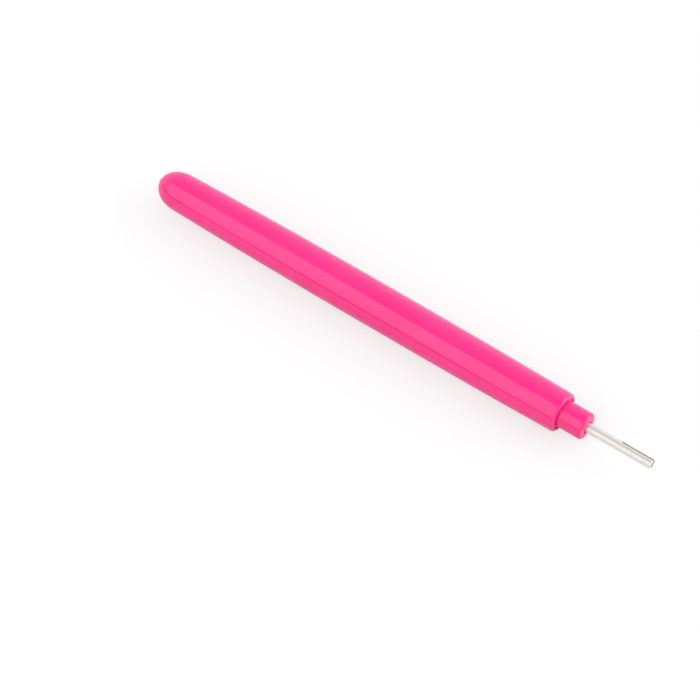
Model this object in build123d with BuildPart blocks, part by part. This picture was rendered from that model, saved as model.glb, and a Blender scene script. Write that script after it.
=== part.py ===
from build123d import *
import os

# A slotted paper quilling tool, lying on its side.
# The tool's axis runs along X, with the needle's tip at the +X end, and the tool rests on Z = 0.
# A station is a distance along the axis from the pole of the handle's rounded tail.

# Handle barrel: a closed-ended moulded tube, widest in a short straight belly past its middle
barrel_length = 87.3
belly_radius = 4.0
belly_length = 12.0
belly_share = 0.58
mouth_radius = 3.72
tail_radius = 3.55
dome_length = 4.6
dome_fullness_share = 0.55
mouth_round = 0.6

# Gate stub left on the tail's pole where the moulding was broken off its runner
gate_radius = 0.45
gate_height = 0.15
gate_root = 0.3

# Bore: a straight socket for the plug, then a drafted core with a round end
socket_depth = 13.0
mouth_lead = 0.25
seat_step = 0.45
core_draft = 0.45
core_wall = 2.2

# Nose plug: the collar that shows, a wider register just inside the mouth and a ribbed stem behind
collar_radius = 2.55
collar_length = 4.9
collar_round = 0.5
register_step = 0.2
register_length = 2.0
register_inset = 0.15
plug_play = 0.02
stem_relief = 0.17
stem_chamfer = 0.5
rib_count = 6
rib_radius = 0.35

# Needle: a round steel pin, sawn through lengthwise from its tip, on a square tang that can't turn in the plug
needle_radius = 0.9
needle_reach = 13.3
needle_chamfer = 0.12
shoulder_inset = 0.1
tang_width = 1.25
tang_length = 10.9
tang_chamfer = 0.2
tang_play = 0.01
eye_radius = 1.15
eye_depth = 0.25
slot_length = 6.5
slot_width = 0.55
slot_turn = 50.0

# How far a cut runs past the face that it leaves
overrun = 1.0

# Places along the axis
overall_length = gate_height + barrel_length + collar_length + needle_reach
tail_x = gate_height - overall_length / 2
collar_station = barrel_length + collar_length
tip_station = collar_station + needle_reach
belly_station = belly_share * barrel_length - belly_length / 2
seat_station = barrel_length - socket_depth
register_end = barrel_length - register_inset
register_station = register_end - register_length
shoulder_station = collar_station - shoulder_inset
slot_station = tip_station - slot_length

# Radii that follow their mating pieces
register_radius = collar_radius + register_step
socket_radius = register_radius + plug_play
core_radius = socket_radius - seat_step
core_end_radius = core_radius - core_draft
stem_radius = register_radius - stem_relief
tang_hole_width = tang_width + 2 * tang_play

# Lengthwise plane through the axis: its x is the station and its y the height above the axis
tail_pole = (tail_x, 0, belly_radius)
lengthwise = Plane(origin=tail_pole, x_dir=(1, 0, 0), z_dir=(0, -1, 0))
tool_axis = Axis(tail_pole, (1, 0, 0))


def crosswise(station):
    """Plane across the axis at a station, facing the tip."""
    return Plane(origin=(tail_x + station, 0, belly_radius), x_dir=(0, 1, 0), z_dir=(1, 0, 0))


# Handle barrel
with BuildPart() as handle_barrel:
    with BuildSketch(lengthwise):
        with BuildLine():
            # Two long arcs leave the straight belly smoothly, one for the dome and one for the mouth
            dome_base = (dome_length, tail_radius)
            belly = Line((belly_station, belly_radius), (belly_station + belly_length, belly_radius))
            back = TangentArc(belly @ 0, dome_base, tangent=(-1, 0))
            TangentArc(belly @ 1, (barrel_length, mouth_radius), tangent=(1, 0))
            # The dome runs on smoothly from the back arc and meets the pole square to the axis
            Bezier(
                dome_base,
                Vector(dome_base) + (back % 1) * (dome_fullness_share * dome_length),
                (0, dome_fullness_share * tail_radius),
                (0, 0),
            )
            Polyline((barrel_length, mouth_radius), (barrel_length, 0), (0, 0))
        make_face()
    revolve(axis=tool_axis)
    mouth_rim = (
        handle_barrel.edges().filter_by(GeomType.CIRCLE).group_by(Axis.X)[-1].sort_by(SortBy.RADIUS)[-1]
    )
    fillet(mouth_rim, radius=mouth_round)
    with BuildSketch(crosswise(-gate_height)):
        Circle(gate_radius)
    extrude(amount=gate_height + gate_root)
    with BuildSketch(lengthwise):
        with BuildLine():
            # The core's round end is a half circle, a wall's thickness inside the tail
            core_end = core_wall + core_end_radius
            round_end = CenterArc((core_end, 0), core_end_radius, 90, 90)
            Polyline(
                round_end @ 0,
                (seat_station, core_radius),
                (seat_station, socket_radius),
                (barrel_length - mouth_lead, socket_radius),
                (barrel_length, socket_radius + mouth_lead),
                (barrel_length + overrun, socket_radius + mouth_lead),
                (barrel_length + overrun, 0),
                round_end @ 1,
            )
        make_face()
    revolve(axis=tool_axis, mode=Mode.SUBTRACT)
handle_barrel.part.label = "handle_barrel"

# Nose plug
with BuildPart() as nose_plug:
    with BuildSketch(lengthwise):
        with BuildLine():
            Polyline(
                (seat_station, 0),
                (seat_station, stem_radius - stem_chamfer),
                (seat_station + stem_chamfer, stem_radius),
                (register_station, stem_radius),
                (register_station, register_radius),
                (register_end, register_radius),
                (register_end, collar_radius),
                (collar_station, collar_radius),
                (collar_station, 0),
                close=True,
            )
        make_face()
    revolve(axis=tool_axis)
    collar_rim = (
        nose_plug.edges().filter_by(GeomType.CIRCLE).group_by(Axis.X)[-1].sort_by(SortBy.RADIUS)[-1]
    )
    fillet(collar_rim, radius=collar_round)
    # Crush ribs: round beads along the stem, whose crests meet the socket's wall
    with BuildSketch(crosswise(seat_station + stem_chamfer)):
        with PolarLocations(socket_radius - rib_radius, rib_count):
            Circle(rib_radius)
    extrude(amount=register_station - seat_station - stem_chamfer)
    # Blind square hole for the needle's tang, with a round eye sunk at its mouth
    with BuildSketch(crosswise(shoulder_station)):
        Rectangle(tang_hole_width, tang_hole_width)
    extrude(amount=-tang_length, mode=Mode.SUBTRACT)
    with Locations(crosswise(collar_station)):
        Cone(
            bottom_radius=eye_radius - eye_depth,
            top_radius=eye_radius,
            height=eye_depth,
            align=(Align.CENTER, Align.CENTER, Align.MAX),
            mode=Mode.SUBTRACT,
        )
nose_plug.part.label = "nose_plug"

# Slotted needle
with BuildPart() as slotted_needle:
    with BuildSketch(crosswise(shoulder_station)):
        Circle(needle_radius)
    extrude(amount=tip_station - shoulder_station)
    chamfer(slotted_needle.faces().sort_by(Axis.X)[-1].edges(), length=needle_chamfer)
    # Four flats pressed on the wire leave a square tang, chamfered at its root
    with BuildSketch(crosswise(shoulder_station)):
        Rectangle(tang_width, tang_width)
    extrude(amount=-tang_length)
    chamfer(slotted_needle.faces().sort_by(Axis.X)[0].edges(), length=tang_chamfer)
    # The slot is open at the tip and square at its inner end
    with BuildSketch(lengthwise.rotated((slot_turn, 0, 0))):
        with Locations((slot_station, 0)):
            Rectangle(slot_length + overrun, slot_width, align=(Align.MIN, Align.CENTER))
    extrude(amount=needle_radius + overrun, both=True, mode=Mode.SUBTRACT)
slotted_needle.part.label = "slotted_needle"

os.makedirs("parts", exist_ok=True)
export_step(handle_barrel.part, "parts/handle_barrel.step")
export_step(nose_plug.part, "parts/nose_plug.step")
export_step(slotted_needle.part, "parts/slotted_needle.step")
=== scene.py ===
import bmesh
import bpy
import numpy as np
from mathutils import Matrix, Vector


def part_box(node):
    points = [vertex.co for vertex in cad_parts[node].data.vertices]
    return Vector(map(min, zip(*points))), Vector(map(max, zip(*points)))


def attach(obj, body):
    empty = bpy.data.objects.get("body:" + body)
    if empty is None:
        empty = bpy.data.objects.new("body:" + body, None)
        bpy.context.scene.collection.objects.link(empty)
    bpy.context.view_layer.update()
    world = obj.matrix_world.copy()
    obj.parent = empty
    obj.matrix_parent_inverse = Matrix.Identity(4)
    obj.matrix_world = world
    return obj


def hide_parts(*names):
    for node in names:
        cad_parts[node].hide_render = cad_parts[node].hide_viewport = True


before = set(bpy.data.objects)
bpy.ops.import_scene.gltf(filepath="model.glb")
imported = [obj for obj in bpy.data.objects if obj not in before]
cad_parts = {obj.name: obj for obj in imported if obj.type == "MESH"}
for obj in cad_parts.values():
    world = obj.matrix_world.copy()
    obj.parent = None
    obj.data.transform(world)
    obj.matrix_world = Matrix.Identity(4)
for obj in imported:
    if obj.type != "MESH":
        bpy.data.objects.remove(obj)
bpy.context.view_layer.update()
print("frame loaded:", ", ".join(sorted(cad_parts)))

# Shapes are worked out in millimetres; a station is a distance along the axis from the tail's pole. The
# frame says where the pieces lie: the pole is the gate's height inside the barrel's box, and the axis is
# halfway up it
millimetre = 0.001
decimals = 3
gateHeight = 0.15
barrelLow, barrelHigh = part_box("handle_barrel")
layout = {
    "tailPlace": round(barrelLow.x / millimetre + gateHeight, decimals),
    "axisHeight": round((barrelLow.z + barrelHigh.z) / 2 / millimetre, decimals),
}


# Stations of the two ends of a node's box, to the micrometre
def endsOf(node):
    return [round(corner.x / millimetre - layout["tailPlace"], decimals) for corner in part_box(node)]


gateTop, mouthEnd = endsOf("handle_barrel")
plugSeat, collarEnd = endsOf("nose_plug")
tangEnd, needleTip = endsOf("slotted_needle")
print("barrel, plug and needle end at stations", mouthEnd, collarEnd, needleTip)

# The photograph's viewpoint, in degrees and millimetres
viewpoint = {
    "azimuth": 36.6,
    "elevation": 56.0,
    "roll": -1.3,
    "distance": 703.4,
    "target": (-5.03, -8.27, 0.0),
    "lens": 205.3,
    "sensor": 36.0,
    "clip": (10.0, 20000.0),
}


# Camera: it stands at a distance from the target, in the direction of azimuth and elevation, and its
# right and up are turned by the roll about the line of sight
def placeCamera(view):
    azimuth, elevation, roll = np.radians([view["azimuth"], view["elevation"], view["roll"]])
    away = np.array([
        np.sin(azimuth) * np.cos(elevation),
        -np.cos(azimuth) * np.cos(elevation),
        np.sin(elevation),
    ])
    level = np.array([np.cos(azimuth), np.sin(azimuth), 0.0])
    upright = np.cross(away, level)
    right = np.cos(roll) * level + np.sin(roll) * upright
    up = np.cos(roll) * upright - np.sin(roll) * level
    place = (np.array(view["target"]) + view["distance"] * away) * millimetre
    turn = np.eye(4)
    turn[:3, 0] = right
    turn[:3, 1] = up
    turn[:3, 2] = away
    turn[:3, 3] = place
    camera = bpy.data.cameras.new("photoCamera")
    camera.lens = view["lens"]
    camera.sensor_width = view["sensor"]
    camera.clip_start, camera.clip_end = np.array(view["clip"]) * millimetre
    stand = bpy.data.objects.new("photoCamera", camera)
    bpy.context.scene.collection.objects.link(stand)
    stand.matrix_world = Matrix(turn.tolist())
    bpy.context.scene.camera = stand


placeCamera(viewpoint)
print("camera placed")


# Point on the tool: x = tail + station, y = radius * sin(turn), z = axis height + radius * cos(turn)
def onTool(station, radius, turn):
    station, radius, turn = np.broadcast_arrays(station, radius, turn)
    across = radius * np.sin(turn)
    height = layout["axisHeight"] + radius * np.cos(turn)
    return np.stack([layout["tailPlace"] + station, across, height], axis=-1)


# Arc of a profile, which is a row of (station, radius) points: centre + radius * (cos, sin), from one angle
# to another, in degrees
def arc(centre, radius, start, stop, count):
    angle = np.radians(np.linspace(start, stop, count))
    return np.stack([centre[0] + radius * np.cos(angle), centre[1] + radius * np.sin(angle)], axis=-1)


# Straight run of a profile, evenly divided
def run(start, stop, count):
    share = np.linspace(0, 1, count)[:, None]
    return (1 - share) * np.array(start, float) + share * np.array(stop, float)


# Cubic curve from the first to the fourth point, drawn towards the two between: the Bernstein sum
def cubic(first, second, third, fourth, share):
    share = np.asarray(share)[:, None]
    rest = 1 - share
    points = rest ** 3 * np.array(first) + 3 * rest ** 2 * share * np.array(second)
    return points + 3 * rest * share ** 2 * np.array(third) + share ** 3 * np.array(fourth)


# Long bow from a crest to an end: part of the circle that is level at the crest and drops to the end,
# whose radius is (reach^2 + drop^2) / (2 drop)
def bow(crest, end, count):
    reach = end[0] - crest[0]
    drop = crest[1] - end[1]
    radius = (reach ** 2 + drop ** 2) / (2 * drop)
    stations = np.linspace(crest[0], end[0], count)
    heights = crest[1] - radius + np.sqrt(radius ** 2 - (stations - crest[0]) ** 2)
    return np.stack([stations, heights], axis=-1)


# Rows by columns of points become quads; a closed grid joins its last column to its first
def quadsOf(points, closed):
    rows, columns = points.shape[:2]
    index = np.arange(rows * columns).reshape(rows, columns)
    if closed:
        index = np.concatenate([index, index[:, :1]], axis=1)
    corners = [index[:-1, :-1], index[:-1, 1:], index[1:, 1:], index[1:, :-1]]
    return np.stack(corners, axis=-1).reshape(-1, 4)


# How pieces are joined up: the weld's distance in metres, and the angle in degrees that makes an edge sharp
joinery = {"weld": 1e-7, "sharp": 32.0}


# One piece from its grids, each (points, closed, finish number): welded, turned outwards and smoothed
def makePiece(name, grids, finishes, node):
    points, faces, marks, count = [], [], [], 0
    for grid, closed, finish in grids:
        quads = quadsOf(grid, closed) + count
        points.append(grid.reshape(-1, 3) * millimetre)
        faces.append(quads)
        marks.append(np.full(len(quads), finish))
        count += grid.shape[0] * grid.shape[1]
    mesh = bpy.data.meshes.new(name)
    mesh.from_pydata(np.concatenate(points), [], np.concatenate(faces))
    mesh.polygons.foreach_set("material_index", np.concatenate(marks).astype(np.int32))
    weld = bmesh.new()
    weld.from_mesh(mesh)
    bmesh.ops.remove_doubles(weld, verts=weld.verts, dist=joinery["weld"])
    bmesh.ops.recalc_face_normals(weld, faces=weld.faces)
    openEdges = sum(1 for edge in weld.edges if len(edge.link_faces) != 2)
    weld.to_mesh(mesh)
    weld.free()
    mesh.shade_smooth()
    mesh.set_sharp_from_angle(angle=np.radians(joinery["sharp"]))
    for finish in finishes:
        mesh.materials.append(finish)
    piece = bpy.data.objects.new(name, mesh)
    bpy.context.scene.collection.objects.link(piece)
    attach(piece, "root")
    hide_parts(node)
    print(name, "made:", len(mesh.polygons), "faces,", openEdges, "open edges")
    return piece


# A node of a material, with its settings and its inputs, which are values or other nodes' outputs
def add(tree, kind, inputs=None, **settings):
    node = tree.nodes.new(kind)
    for key, value in settings.items():
        setattr(node, key, value)
    for key, value in (inputs or {}).items():
        if isinstance(value, bpy.types.NodeSocket):
            tree.links.new(value, node.inputs[key])
        else:
            node.inputs[key].default_value = value
    return node


# An empty material with its surface output
def newFinish(name):
    finish = bpy.data.materials.new(name)
    finish.use_nodes = True
    finish.node_tree.nodes.clear()
    return finish, finish.node_tree, add(finish.node_tree, "ShaderNodeOutputMaterial")


# Noise in object space, stretched by a scale for each axis; its value runs from 0 to 1
def noise(tree, place, scale, detail=2.0, turned=(0.0, 0.0, 0.0), roughness=0.55):
    spread = add(tree, "ShaderNodeMapping", {"Vector": place, "Scale": scale, "Rotation": turned})
    grain = add(
        tree,
        "ShaderNodeTexNoise",
        {"Vector": spread.outputs["Vector"], "Scale": 1.0, "Detail": detail, "Roughness": roughness},
    )
    return grain.outputs["Fac"]


# One range of a value stretched smoothly onto another, and held at its ends
def ranged(tree, value, low, high, toLow, toHigh):
    inputs = {"Value": value, "From Min": low, "From Max": high, "To Min": toLow, "To Max": toHigh}
    return add(tree, "ShaderNodeMapRange", inputs, interpolation_type="SMOOTHSTEP").outputs["Result"]


# Two colours mixed by a share; the node has its colour inputs at places 6 and 7, and its colour at output 2
def blended(tree, share, first, second):
    return add(tree, "ShaderNodeMix", {0: share, 6: first, 7: second}, data_type="RGBA").outputs[2]


# Two values added, or joined by another operation
def combined(tree, first, second, operation="ADD"):
    return add(tree, "ShaderNodeMath", {0: first, 1: second}, operation=operation).outputs[0]


# Distance of a value from a middle: |value - middle|
def distanceFrom(tree, value, middle):
    return combined(tree, combined(tree, value, middle, "SUBTRACT"), 0.0, "ABSOLUTE")


# Moulded plastic: heights in metres, scales in waves per metre, and each range is the part of a noise
# that counts. Cloud tints, flow marks run along, peel is the soft waviness, hair is fine scratches
plastic = {
    "colour": (0.90, 0.016, 0.218, 1.0),
    "colourPale": (0.95, 0.022, 0.240, 1.0),
    # Pale pink of wear and scratches, and the painted highlight of the rounded rims
    "scuffAndSheen": (0.98, 0.16, 0.40, 1.0),
    "cloudScale": (70.0, 160.0, 160.0),
    "cloudRange": (0.3, 0.7),
    "flowScale": (35.0, 1400.0, 1400.0),
    "flowRange": (0.25, 0.75),
    "peelScale": (260.0, 520.0, 520.0),
    "grainScale": (4200.0, 4200.0, 4200.0),
    "hairScale": (22.0, 5200.0, 5200.0),
    "hairTurn": (0.0, 0.02, 0.01),
    "hairWidth": 0.012,
    "hairPlaceScale": (90.0, 600.0, 600.0),
    "hairPlaceRange": (0.56, 0.68),
    "hairTint": 0.10,
    "hairGloss": 0.12,
    "wearAndSheenScale": (1500.0, 900.0, 900.0),
    "wearAndSheenRange": (0.48, 0.72),
    "wearAndSheenTint": 0.30,
    "wearAndSheenGloss": 0.14,
    "peelHeight": 4.0e-6,
    "flowHeight": 2.5e-7,
    "grainHeight": 1.5e-7,
    "gloss": (0.075, 0.115),
    "ior": 1.52,
    "specular": 0.5,
    "subsurface": 0.12,
    "subsurfaceRadius": (1.0, 0.12, 0.35),
    "subsurfaceScale": 0.0009,
    "innerGloss": (0.6, 0.7),
    "innerSpecular": 0.04,
}


# Plastic's finish: a clouded tint and a gloss from the flow marks, with paler wear near the rims, each a
# station and how far its wear reaches, which on the mouth's and the collar's rounded rims also paints
# their highlight, and hairlines where their noise crosses its middle, in a few places only.
# The faces inside a mouth or a hole keep the mould's matt look, as nothing rubs or polishes them
def plasticFinish(name, rims, values, inner=False):
    finish, tree, output = newFinish(name)
    place = add(tree, "ShaderNodeTexCoord").outputs["Object"]
    cloud = noise(tree, place, values["cloudScale"], detail=3.0)
    flow = noise(tree, place, values["flowScale"])
    peel = noise(tree, place, values["peelScale"], detail=1.0)
    grain = noise(tree, place, values["grainScale"])
    hair = noise(tree, place, values["hairScale"], detail=0.0, turned=values["hairTurn"])
    hairPlaces = noise(tree, place, values["hairPlaceScale"])
    hairLine = ranged(tree, distanceFrom(tree, hair, 0.5), 0.0, values["hairWidth"], 1.0, 0.0)
    hairHere = ranged(tree, hairPlaces, *values["hairPlaceRange"], 0.0, 1.0)
    scratch = combined(tree, hairLine, hairHere, "MULTIPLY")
    along = add(tree, "ShaderNodeSeparateXYZ", {"Vector": place}).outputs["X"]
    # Wear near the rims, in patches: real rubbing, and on the mouth's and collar's rims a painted highlight
    wearAndSheen = 0.0
    for station, reach in rims:
        offRim = distanceFrom(tree, along, (layout["tailPlace"] + station) * millimetre)
        wearAndSheen = combined(tree, wearAndSheen, ranged(tree, offRim, 0.0, reach * millimetre, 1.0, 0.0))
    patches = noise(tree, place, values["wearAndSheenScale"], detail=3.0)
    wearAndSheen = combined(tree, wearAndSheen, ranged(tree, patches, *values["wearAndSheenRange"], 0.0, 1.0), "MULTIPLY")
    tint = ranged(tree, cloud, *values["cloudRange"], 0.0, 1.0)
    body = blended(tree, tint, values["colour"], values["colourPale"])
    wearAndSheenTint = combined(tree, wearAndSheen, values["wearAndSheenTint"], "MULTIPLY")
    hairTint = combined(tree, scratch, values["hairTint"], "MULTIPLY")
    # Pale tint of wear and scratches; on those rims it is painted highlight as well as wear
    colour = blended(tree, combined(tree, wearAndSheenTint, hairTint), body, values["scuffAndSheen"])
    gloss = ranged(tree, flow, *values["flowRange"], *values["innerGloss" if inner else "gloss"])
    gloss = combined(tree, gloss, combined(tree, wearAndSheen, values["wearAndSheenGloss"], "MULTIPLY"))
    gloss = combined(tree, gloss, combined(tree, scratch, values["hairGloss"], "MULTIPLY"))
    normal = None
    for height, depth in ((peel, "peelHeight"), (flow, "flowHeight"), (grain, "grainHeight")):
        inputs = {"Height": height, "Strength": 1.0, "Distance": values[depth]}
        if normal is not None:
            inputs["Normal"] = normal
        normal = add(tree, "ShaderNodeBump", inputs).outputs["Normal"]
    shader = add(
        tree,
        "ShaderNodeBsdfPrincipled",
        {
            "Base Color": colour,
            "Roughness": gloss,
            "IOR": values["ior"],
            "Specular IOR Level": values["innerSpecular" if inner else "specular"],
            "Normal": normal,
            "Subsurface Weight": values["subsurface"],
            "Subsurface Radius": values["subsurfaceRadius"],
            "Subsurface Scale": values["subsurfaceScale"],
        },
    )
    tree.links.new(shader.outputs["BSDF"], output.inputs["Surface"])
    return finish


# Drawn steel wire, with scales in waves per metre and heights in metres
steel = {
    "colour": (0.74, 0.708, 0.642, 1.0),
    "colourDark": (0.65, 0.620, 0.560, 1.0),
    # Sawn faces: bright cut steel, painted paler still to lift the shade inside the slot
    "sawnAndLitColour": (0.84, 0.82, 0.77, 1.0),
    "lineScale": (60.0, 9000.0, 9000.0),
    "bandScale": (25.0, 2200.0, 2200.0),
    "lineRange": (0.3, 0.7),
    "toneRange": (0.38, 0.62),
    "pitScale": (5000.0, 5000.0, 5000.0),
    "lineHeight": 3.0e-6,
    "pitHeight": 3.0e-7,
    "gloss": (0.74, 0.84),
    "crestIor": 2.9,
    "crestGloss": 0.1,
    "sawScale": (14000.0, 900.0, 900.0),
    "sawHeight": 1.6e-6,
    "sawGloss": (0.3, 0.46),
}


# Steel's finish: the tone is half lines and half bands. Die lines run along the wire, and their burnished
# crests, a thin coat, add a narrow gleam to the broad sheen. Sawn faces have their marks across the cut,
# and a paler colour: bright cut steel, made paler still as painted light in the shade of the slot
def steelFinish(name, values, sawn=False):
    finish, tree, output = newFinish(name)
    place = add(tree, "ShaderNodeTexCoord").outputs["Object"]
    lines = noise(tree, place, values["sawScale" if sawn else "lineScale"], detail=3.0)
    bands = noise(tree, place, values["bandScale"])
    pits = noise(tree, place, values["pitScale"])
    tone = combined(tree, combined(tree, lines, 0.5, "MULTIPLY"), combined(tree, bands, 0.5, "MULTIPLY"))
    share = ranged(tree, tone, *values["toneRange"], 0.0, 1.0)
    # On sawn faces the paler colour is partly painted light that lifts the slot's shade
    colour = blended(tree, share, values["colourDark"], values["sawnAndLitColour" if sawn else "colour"])
    gloss = ranged(tree, lines, *values["lineRange"], *values["sawGloss" if sawn else "gloss"])
    depth = values["sawHeight" if sawn else "lineHeight"]
    lineInputs = {"Height": lines, "Strength": 1.0, "Distance": depth}
    lined = add(tree, "ShaderNodeBump", lineInputs).outputs["Normal"]
    pitInputs = {"Height": pits, "Strength": 1.0, "Distance": values["pitHeight"], "Normal": lined}
    pitted = add(tree, "ShaderNodeBump", pitInputs).outputs["Normal"]
    shader = add(
        tree,
        "ShaderNodeBsdfPrincipled",
        {
            "Base Color": colour,
            "Metallic": 1.0,
            "Roughness": gloss,
            "Normal": pitted,
            "Coat Weight": 0.0 if sawn else 1.0,
            "Coat IOR": values["crestIor"],
            "Coat Roughness": values["crestGloss"],
            "Coat Normal": lined,
        },
    )
    tree.links.new(shader.outputs["BSDF"], output.inputs["Surface"])
    return finish


# Handle barrel, in millimetres. A fade is its start, counted from its end of the barrel, and its length.
# A wear is its middle, counted in the same way, and its reach; the mouth's wear also paints the rim's
# highlight. A wave of the gate's torn face is how fast it runs around and outwards, and its shift
barrel = {
    "length": mouthEnd,
    "bellyMiddle": 50.634,
    "bellyLength": 12.0,
    "bellyRadius": layout["axisHeight"],
    "mouthRadius": 3.72,
    "tailRadius": 3.55,
    "domeLength": 4.6,
    "domeFullness": 0.55,
    "domeStart": 0.07,
    "mouthRound": 0.6,
    "rimGap": 0.05,
    "gateTop": gateTop,
    "gateRadius": 0.45,
    "gateRound": 0.07,
    "gateFlare": 0.02,
    "gateRough": 0.05,
    "gateWaves": ((9, 14, 0.0), (4, -9, 1.0), (2, 23, 0.0)),
    "gateRipple": 0.6,
    "gateEven": 0.15,
    "gateTorn": 0.01,
    "socketRadius": 2.77,
    "mouthLead": 0.25,
    "seat": plugSeat,
    "seatStep": 0.45,
    "coreDraft": 0.45,
    "coreWall": 2.2,
    "ripple": 0.006,
    "rippleWaves": (3.1, 5.3, 9.0),
    "rippleSwing": 2.0,
    "rippleShift": 1.3,
    "seamHeight": 0.008,
    "seamWidth": 0.10,
    "tailFade": (1.0, 6.0),
    "mouthFade": (0.3, 2.0),
    "tailWear": (0.175, 0.6),
    # Mouth rim: paler wear that also paints the rim's highlight
    "mouthWearAndSheen": (0.325, 0.5),
    "columns": 144,
    "gateRows": 9,
    "gateRoundRows": 5,
    "flareRows": 6,
    "domeRows": 44,
    "slopeRows": 400,
    "rearRows": 100,
    "bellyRows": 30,
    "foreRows": 80,
    "rimRows": 16,
    "leadRows": 4,
    "socketRows": 20,
    "coreRows": 40,
    "coreEndRows": 14,
}


# Barrel skin: one closed profile turned about the axis. The long outside is drawn in by a slow ripple of
# three crossed sines, less a fine seam, exp(-(distance / width)^2), where the mould's halves met, so it
# never stands outside the profile. The gate's face is torn: it sinks by crossed sines of turn and radius,
# but stays even at its middle
def barrelGrids(values):
    rear = (values["bellyMiddle"] - values["bellyLength"] / 2, values["bellyRadius"])
    fore = (values["bellyMiddle"] + values["bellyLength"] / 2, values["bellyRadius"])
    base = (values["domeLength"], values["tailRadius"])
    slope = bow(rear, base, values["slopeRows"])
    lead = slope[-1] - slope[-2]
    lead = lead / np.linalg.norm(lead) * values["domeFullness"] * values["domeLength"]
    poleLead = (0, values["domeFullness"] * values["tailRadius"])
    domeShare = np.linspace(values["domeStart"], 1, values["domeRows"])
    dome = cubic((0, 0), poleLead, np.array(base) + lead, base, domeShare)

    top = values["gateTop"]
    gateRound = values["gateRound"]
    gateRadius = values["gateRadius"]
    gateEdge = gateRadius - gateRound
    gateSide = (top + gateRound, gateRadius)
    gateFlare = (0.0, gateRadius + values["gateFlare"])
    flareShare = np.linspace(0, 1, values["flareRows"])
    mouthRound = values["mouthRound"]
    rimCentre = (values["length"] - mouthRound, values["mouthRadius"] - mouthRound)
    front = bow(fore, (values["length"], values["mouthRadius"]), values["foreRows"])
    beforeRim = front[:, 0] < rimCentre[0] - values["rimGap"]
    outside = np.concatenate([
        run((top, 0.0), (top, gateEdge), values["gateRows"]),
        arc((top + gateRound, gateEdge), gateRound, 180, 90, values["gateRoundRows"])[1:],
        cubic(gateSide, (0.0, gateRadius), gateFlare, dome[0], flareShare)[1:],
        dome[1:],
        bow(rear, base, values["rearRows"])[::-1][1:],
        run(rear, fore, values["bellyRows"])[1:],
        front[beforeRim][1:],
        arc(rimCentre, mouthRound, 90, 0, values["rimRows"]),
    ])

    mouthEdge = (values["length"], values["socketRadius"] + values["mouthLead"])
    socketFront = (values["length"] - values["mouthLead"], values["socketRadius"])
    coreRadius = values["socketRadius"] - values["seatStep"]
    endRadius = coreRadius - values["coreDraft"]
    coreEnd = values["coreWall"] + endRadius
    inside = np.concatenate([
        run(mouthEdge, socketFront, values["leadRows"]),
        run(socketFront, (values["seat"], values["socketRadius"]), values["socketRows"])[1:],
        run((values["seat"], coreRadius), (coreEnd, endRadius), values["coreRows"]),
        arc((coreEnd, 0.0), endRadius, 90, 180, values["coreEndRows"])[1:],
    ])

    turn = np.linspace(0, 2 * np.pi, values["columns"], endpoint=False)[None, :]
    station, radius = outside[:, :1], outside[:, 1:]
    tailStart, tailRun = values["tailFade"]
    mouthStart, mouthRun = values["mouthFade"]
    tailShare = np.clip((station - tailStart) / tailRun, 0, 1)
    mouthShare = np.clip((values["length"] - mouthStart - station) / mouthRun, 0, 1)
    short, middle, long = values["rippleWaves"]
    swing = values["rippleSwing"] * np.sin(turn)
    ripple = np.sin(station / short + swing) + np.sin(station / middle - turn + values["rippleShift"])
    ripple = ripple + np.sin(2 * turn + station / long)
    draw = values["ripple"] * (1 + ripple / 3)
    offSeam = np.minimum(np.abs(turn - np.pi / 2), np.abs(turn - 3 * np.pi / 2)) * radius
    seam = values["seamHeight"] * np.exp(-(offSeam / values["seamWidth"]) ** 2)
    skin = radius - tailShare * mouthShare * np.maximum(draw + values["seamHeight"] - seam, 0)

    fine = values["gateRipple"]
    first, second, third = [
        np.sin(around * turn + outwards * radius + shift) for around, outwards, shift in values["gateWaves"]
    ]
    rough = first * second + fine * third
    onGate = (station < top + values["gateTorn"]) * np.clip(radius / values["gateEven"], 0, 1)
    sink = values["gateRough"] * onGate * (1 + fine + rough) / (2 * (1 + fine))
    outer = onTool(station + sink, skin, turn)
    inner = onTool(inside[:, :1], inside[:, 1:], turn)
    return [(np.concatenate([outer, inner[:1]]), True, 0), (inner, True, 1)]


# Nose plug, in millimetres and degrees. Its wear, which also paints the collar rim's pale highlight, is
# counted back from the collar's end
plug = {
    "seat": plugSeat,
    "mouth": mouthEnd,
    "socketRadius": barrel["socketRadius"],
    "registerPlay": 0.02,
    "registerInset": 0.15,
    "registerLength": 2.0,
    "stemRelief": 0.17,
    "stemChamfer": 0.5,
    "ribCount": 6,
    "ribRadius": 0.35,
    "collarRadius": 2.55,
    "collarEnd": collarEnd,
    "collarRound": 0.5,
    "eyeRadius": 1.15,
    "eyeDepth": 0.25,
    "eyeRound": 0.06,
    "eyeSlope": 45.0,
    "holeWidth": 1.27,
    "holeEnd": tangEnd,
    # Collar rim: paler wear that also paints the rim's highlight
    "wearAndSheen": (0.225, 0.3),
    "columns": 144,
    "collarRows": 18,
    "rimRows": 14,
    "faceRows": 5,
    "lipRows": 4,
    "eyeRows": 5,
}


# Square about the axis: half the width over the larger of |cos| and |sin| of the turn
def squareRadius(halfWidth, turn):
    return halfWidth / np.maximum(np.abs(np.cos(turn)), np.abs(np.sin(turn)))


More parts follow.
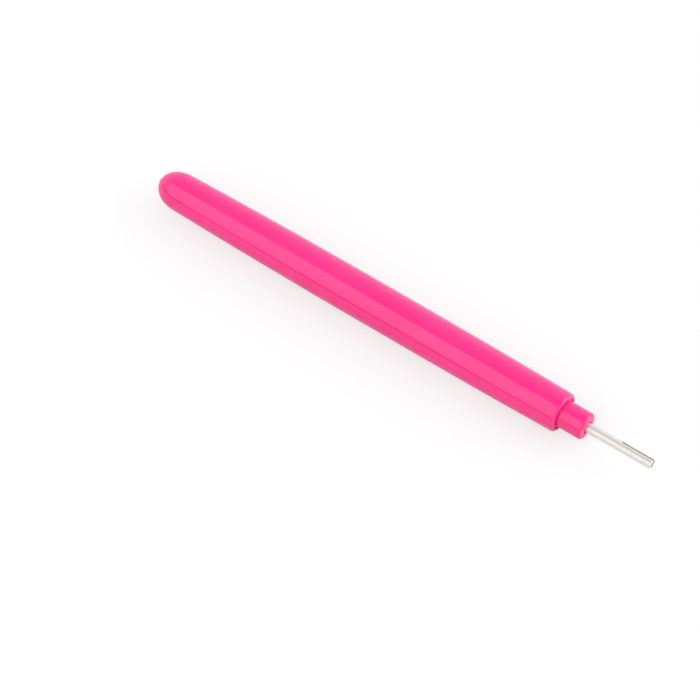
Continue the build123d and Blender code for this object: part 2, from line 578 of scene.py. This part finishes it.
# Plug skin: rows of radii that may change with the turn. A rib is a circle on the stem's edge, whose radius
# seen from the axis is c cos(d) + sqrt(r^2 - c^2 sin^2(d)), with d the turn from the rib's middle. The
# collar is one grid, and the stem and the eye with its hole, which are matt, are two more
def plugGrids(values):
    turn = np.linspace(0, 2 * np.pi, values["columns"], endpoint=False)
    pitch = 2 * np.pi / values["ribCount"]
    offRib = (turn + pitch / 2) % pitch - pitch / 2
    ribCentre = values["socketRadius"] - values["ribRadius"]
    inRib = np.maximum(values["ribRadius"] ** 2 - (ribCentre * np.sin(offRib)) ** 2, 0)
    rib = ribCentre * np.cos(offRib) + np.sqrt(inRib)
    registerRadius = values["socketRadius"] - values["registerPlay"]
    stem = np.full_like(turn, registerRadius - values["stemRelief"])
    ribbed = np.where(inRib > 0, np.maximum(rib, stem), stem)

    def skin(rows):
        stations = np.array([row[0] for row in rows])[:, None]
        radii = np.array([0 * turn + row[1] for row in rows])
        return onTool(stations, radii, turn[None, :])

    ribStart = values["seat"] + values["stemChamfer"]
    registerEnd = values["mouth"] - values["registerInset"]
    registerStart = registerEnd - values["registerLength"]
    stemRows = [
        (values["seat"], 0.0),
        (values["seat"], stem - values["stemChamfer"]),
        (ribStart, stem),
        (ribStart, ribbed),
        (registerStart, ribbed),
        (registerStart, registerRadius),
        (registerEnd, registerRadius),
    ]
    end = values["collarEnd"]
    rim = values["collarRound"]
    radius = values["collarRadius"]
    eyeRound = values["eyeRound"]
    lipCentre = (end - eyeRound, values["eyeRadius"] + eyeRound)
    lip = arc(lipCentre, eyeRound, 0, -values["eyeSlope"], values["lipRows"])
    collarRows = list(np.concatenate([
        run((registerEnd, radius), (end - rim, radius), values["collarRows"]),
        arc((end - rim, radius - rim), rim, 90, 0, values["rimRows"])[1:],
        run((end, radius - rim), lip[0], values["faceRows"])[1:],
        lip[1:],
    ]))
    eyeFloor = (end - values["eyeDepth"], values["eyeRadius"] - values["eyeDepth"])
    hole = squareRadius(values["holeWidth"] / 2, turn)
    holeRows = list(run(lip[-1], eyeFloor, values["eyeRows"])[1:]) + [
        (end - values["eyeDepth"], hole),
        (values["holeEnd"], hole),
        (values["holeEnd"], 0.0),
    ]
    return [
        (skin(stemRows[-1:] + collarRows), True, 0),
        (skin(stemRows), True, 1),
        (skin(collarRows[-1:] + holeRows), True, 1),
    ]


# Slotted needle, in millimetres and degrees; its slot's turn is counted from straight up
needle = {
    "radius": 0.9,
    "collarEnd": collarEnd,
    "shoulderInset": 0.1,
    "tip": needleTip,
    "chamfer": 0.12,
    "slotLength": 6.5,
    "slotWidth": 0.55,
    "slotTurn": 40.0,
    "tangEnd": tangEnd,
    "tangWidth": 1.25,
    "tangChamfer": 0.2,
    "edgeEase": 0.025,
    "easeSteps": 2,
    "easeAngle": 38.0,
    "prongColumns": 49,
    "mouthColumns": 13,
    "endRows": 8,
    "rows": 30,
}


# Needle skin: round behind the slot, and beyond it two prongs, each an outer arc and a flat at the slot's
# half width. An arc runs from asin(half width / radius) to its mirror, and a ruled grid between the arc and
# the flat closes an end
def needleGrids(values):
    half = values["slotWidth"] / 2
    tangHalf = values["tangWidth"] / 2
    shoulder = values["collarEnd"] - values["shoulderInset"]
    slotStart = values["tip"] - values["slotLength"]
    turned = np.radians(values["slotTurn"])
    share = np.linspace(0, 1, values["prongColumns"])
    mouthShare = np.linspace(-1, 1, values["mouthColumns"])

    def arcTurns(radius):
        edge = np.arcsin(half / radius)
        return edge + (np.pi - 2 * edge) * share

    def mouthTurns(radius):
        return np.arcsin(half / radius) * mouthShare

    def ring(radius):
        halfRing = np.concatenate([mouthTurns(radius)[:-1], arcTurns(radius)[:-1]])
        return np.concatenate([halfRing, halfRing + np.pi]) + turned

    whole = ring(values["radius"])
    square = squareRadius(tangHalf, whole)
    squareEnd = squareRadius(tangHalf - values["tangChamfer"], whole)
    rows = [
        (values["tangEnd"], 0 * whole),
        (values["tangEnd"], squareEnd),
        (values["tangEnd"] + values["tangChamfer"], square),
        (shoulder, square),
    ]
    shaft = np.linspace(shoulder, slotStart, values["rows"])
    rows += [(station, 0 * whole + values["radius"]) for station in shaft]
    stations = np.array([row[0] for row in rows])[:, None]
    grids = [(onTool(stations, np.array([row[1] for row in rows]), whole[None, :]), True, 0)]

    def flatPoints(radius, station, side):
        reach = np.sqrt(radius ** 2 - half ** 2)
        along = reach * (1 - 2 * share)
        radii = np.hypot(along, half)
        turns = np.arctan2(half, along) + turned + side
        return onTool(station, radii, turns)

    prongStations = np.concatenate([
        np.linspace(slotStart, values["tip"] - values["chamfer"], values["rows"]),
        [values["tip"]],
    ])
    prongRadii = np.full(len(prongStations), values["radius"])
    prongRadii[-1] -= values["chamfer"]
    for side in (0.0, np.pi):
        outer = np.array([
            onTool(station, radius, arcTurns(radius) + turned + side)
            for station, radius in zip(prongStations, prongRadii)
        ])
        flat = np.array([
            flatPoints(radius, station, side) for station, radius in zip(prongStations, prongRadii)
        ])
        across = np.linspace(0, 1, values["endRows"])[:, None, None]
        end = (1 - across) * outer[-1] + across * flat[-1]
        grids += [(outer, False, 0), (flat, False, 1), (end, False, 1)]
    mouth = mouthTurns(values["radius"]) + turned
    farSide = mouthTurns(values["radius"])[::-1] + turned + np.pi
    nearMouth = onTool(slotStart, values["radius"], mouth)
    farMouth = onTool(slotStart, values["radius"], farSide)
    along = share[:, None, None]
    grids.append(((1 - along) * nearMouth + along * farMouth, False, 1))
    return grids


# Rims that wear paler; at the mouth and the collar the paler tint also paints their highlight
mouthInset, mouthReach = barrel["mouthWearAndSheen"]
collarInset, collarReach = plug["wearAndSheen"]
barrelRims = [(barrel["length"] - mouthInset, mouthReach), barrel["tailWear"]]
plugRims = [(plug["collarEnd"] - collarInset, collarReach)]
barrelPlastic = plasticFinish("handlePlastic", barrelRims, plastic)
plugPlastic = plasticFinish("plugPlastic", plugRims, plastic)
innerPlastic = plasticFinish("innerPlastic", [], plastic, inner=True)
wireSteel = steelFinish("needleSteel", steel)
# Slot walls and tip end: cut steel whose paler colour is partly painted light
sawnAndLitSteel = steelFinish("sawnAndLitSteel", steel, sawn=True)
print("finishes mixed")

barrelPlastics = [barrelPlastic, innerPlastic]
plugPlastics = [plugPlastic, innerPlastic]
makePiece("handleBarrel", barrelGrids(barrel), barrelPlastics, "handle_barrel")
makePiece("nosePlug", plugGrids(plug), plugPlastics, "nose_plug")
steels = [wireSteel, sawnAndLitSteel]
slottedNeedle = makePiece("slottedNeedle", needleGrids(needle), steels, "slotted_needle")
ease = slottedNeedle.modifiers.new("easedEdges", "BEVEL")
ease.width = needle["edgeEase"] * millimetre
ease.segments = needle["easeSteps"]
ease.limit_method = "ANGLE"
ease.angle_limit = np.radians(needle["easeAngle"])
ease.harden_normals = True
print("edges eased")

# Studio: lengths in metres, and a brightness of 1 is plain white. The skirt's two ranges are of the Z and
# the Y of a direction whose length is 1
plainWhite = (1.0, 1.0, 1.0, 1.0)
studio = {
    "floorSeen": (0.87, 0.875, 0.885, 1.0),
    "floorColour": (0.42, 0.415, 0.42, 1.0),
    "floorWhite": 0.62,
    "glossWhite": 0.12,
    "floorSize": 4.0,
    "fibreScale": (900.0, 900.0, 900.0),
    "fibreStrength": 0.2,
    "fibreHeight": 2e-5,
    "skyHorizon": 1.3,
    "skyTop": 0.12,
    "skyFall": 0.35,
    "skirtHeight": (0.095, 0.125),
    "skirtAhead": (-0.3, -0.1),
    "skirtDim": 0.92,
}

# Panels: the middles of the low and the high edge, the way that these edges run and how wide they are, and
# the brightness at the low and at the high edge
frontPanel = {
    "low": (-0.27, -0.68, 0.060),
    "high": (-0.27, -0.17, 0.66),
    "across": (1, 0, 0),
    "width": 0.9,
    "brightness": (0.3, 1.25),
}
sidePanel = {
    "low": (0.62, 0.48, 0.02),
    "high": (0.44, 0.34, 0.50),
    "across": (-0.616, 0.788, 0),
    "width": 0.8,
    "brightness": (2.0, 2.0),
}


# Pale floor: it takes the tool's shadow. It is matt paper with a share of plain white mixed in, a large one
# for the camera and a small one for reflections, and it throws less light on the tool than it shows
def layFloor(values):
    half = values["floorSize"] / 2
    corners = [(-half, -half, 0), (half, -half, 0), (half, half, 0), (-half, half, 0)]
    mesh = bpy.data.meshes.new("floor")
    mesh.from_pydata(corners, [], [(0, 1, 2, 3)])
    floor = bpy.data.objects.new("floor", mesh)
    bpy.context.scene.collection.objects.link(floor)
    finish, tree, output = newFinish("floorPaper")
    rays = add(tree, "ShaderNodeLightPath").outputs
    clear = combined(tree, rays["Is Camera Ray"], rays["Is Transmission Ray"])
    gloss = rays["Is Glossy Ray"]
    place = add(tree, "ShaderNodeTexCoord").outputs["Object"]
    fibre = noise(tree, place, values["fibreScale"], detail=3.0)
    relief = {"Height": fibre, "Strength": values["fibreStrength"], "Distance": values["fibreHeight"]}
    paper = add(tree, "ShaderNodeBump", relief).outputs["Normal"]
    colour = blended(tree, combined(tree, clear, gloss), values["floorColour"], values["floorSeen"])
    clearShare = combined(tree, clear, values["floorWhite"], "MULTIPLY")
    share = combined(tree, clearShare, combined(tree, gloss, values["glossWhite"], "MULTIPLY"))
    matt = add(tree, "ShaderNodeBsdfDiffuse", {"Color": colour, "Normal": paper})
    white = add(tree, "ShaderNodeEmission", {"Color": plainWhite, "Strength": 1.0})
    mix = add(tree, "ShaderNodeMixShader", {"Fac": share})
    tree.links.new(matt.outputs["BSDF"], mix.inputs[1])
    tree.links.new(white.outputs["Emission"], mix.inputs[2])
    tree.links.new(mix.outputs["Shader"], output.inputs["Surface"])
    mesh.materials.append(finish)


# Soft panel that faces the tool. With an energy of pi * area, the strength that is graded evenly from its
# low to its high edge is its brightness
def hangPanel(name, values):
    low = Vector(values["low"])
    high = Vector(values["high"])
    height = (high - low).length
    dim, bright = values["brightness"]
    lamp = bpy.data.lights.new(name, "AREA")
    lamp.shape = "RECTANGLE"
    lamp.size = values["width"]
    lamp.size_y = height
    lamp.energy = np.pi * values["width"] * height
    lamp.use_nodes = True
    tree = lamp.node_tree
    tree.nodes.clear()
    place = add(tree, "ShaderNodeNewGeometry").outputs["Parametric"]
    climb = add(tree, "ShaderNodeSeparateXYZ", {"Vector": place}).outputs["Y"]
    grade = {"Value": climb, "From Min": 0.0, "From Max": 1.0, "To Min": dim, "To Max": bright}
    level = add(tree, "ShaderNodeMapRange", grade).outputs["Result"]
    glow = add(tree, "ShaderNodeEmission", {"Color": plainWhite, "Strength": level}).outputs["Emission"]
    add(tree, "ShaderNodeOutputLight", {"Surface": glow})
    stand = bpy.data.objects.new(name, lamp)
    bpy.context.scene.collection.objects.link(stand)
    up = (high - low).normalized()
    across = Vector(values["across"])
    turn = Matrix((across, up, across.cross(up))).transposed().to_4x4()
    turn.translation = (low + high) / 2
    stand.matrix_world = turn
    stand.visible_camera = False


# Sky: plain white to the camera. Its light on the tool falls from the horizon to the zenith, by
# brightness = top + (horizon - top) * (1 - height) ^ fall, and low in front of the tool it has a dim skirt.
# Reflections see that light too, because a plain white sky dulls the plastic's light band and the steel
def fillWorld(values):
    world = bpy.data.worlds.new("studio")
    bpy.context.scene.world = world
    world.use_nodes = True
    tree = world.node_tree
    tree.nodes.clear()
    direction = add(tree, "ShaderNodeTexCoord").outputs["Generated"]
    parts = add(tree, "ShaderNodeSeparateXYZ", {"Vector": direction}).outputs
    height = parts["Z"]
    below = add(tree, "ShaderNodeMath", {0: 1.0, 1: height}, operation="SUBTRACT", use_clamp=True)
    fall = combined(tree, below.outputs[0], values["skyFall"], "POWER")
    rise = combined(tree, fall, values["skyHorizon"] - values["skyTop"], "MULTIPLY")
    level = combined(tree, rise, values["skyTop"])
    low = ranged(tree, height, *values["skirtHeight"], values["skirtDim"], 0.0)
    ahead = ranged(tree, parts["Y"], *values["skirtAhead"], 1.0, 0.0)
    skirt = combined(tree, 1.0, combined(tree, low, ahead, "MULTIPLY"), "SUBTRACT")
    level = combined(tree, level, skirt, "MULTIPLY")
    rays = add(tree, "ShaderNodeLightPath").outputs
    seen = combined(tree, rays["Is Camera Ray"], rays["Is Transmission Ray"])
    light = add(tree, "ShaderNodeBackground", {"Color": plainWhite, "Strength": level})
    white = add(tree, "ShaderNodeBackground", {"Color": plainWhite, "Strength": 1.0})
    mix = add(tree, "ShaderNodeMixShader", {"Fac": seen})
    tree.links.new(light.outputs["Background"], mix.inputs[1])
    tree.links.new(white.outputs["Background"], mix.inputs[2])
    output = add(tree, "ShaderNodeOutputWorld")
    tree.links.new(mix.outputs["Shader"], output.inputs["Surface"])


layFloor(studio)
hangPanel("frontPanel", frontPanel)
hangPanel("sidePanel", sidePanel)
fillWorld(studio)
bpy.context.scene.view_settings.view_transform = "Standard"
print("studio lit")
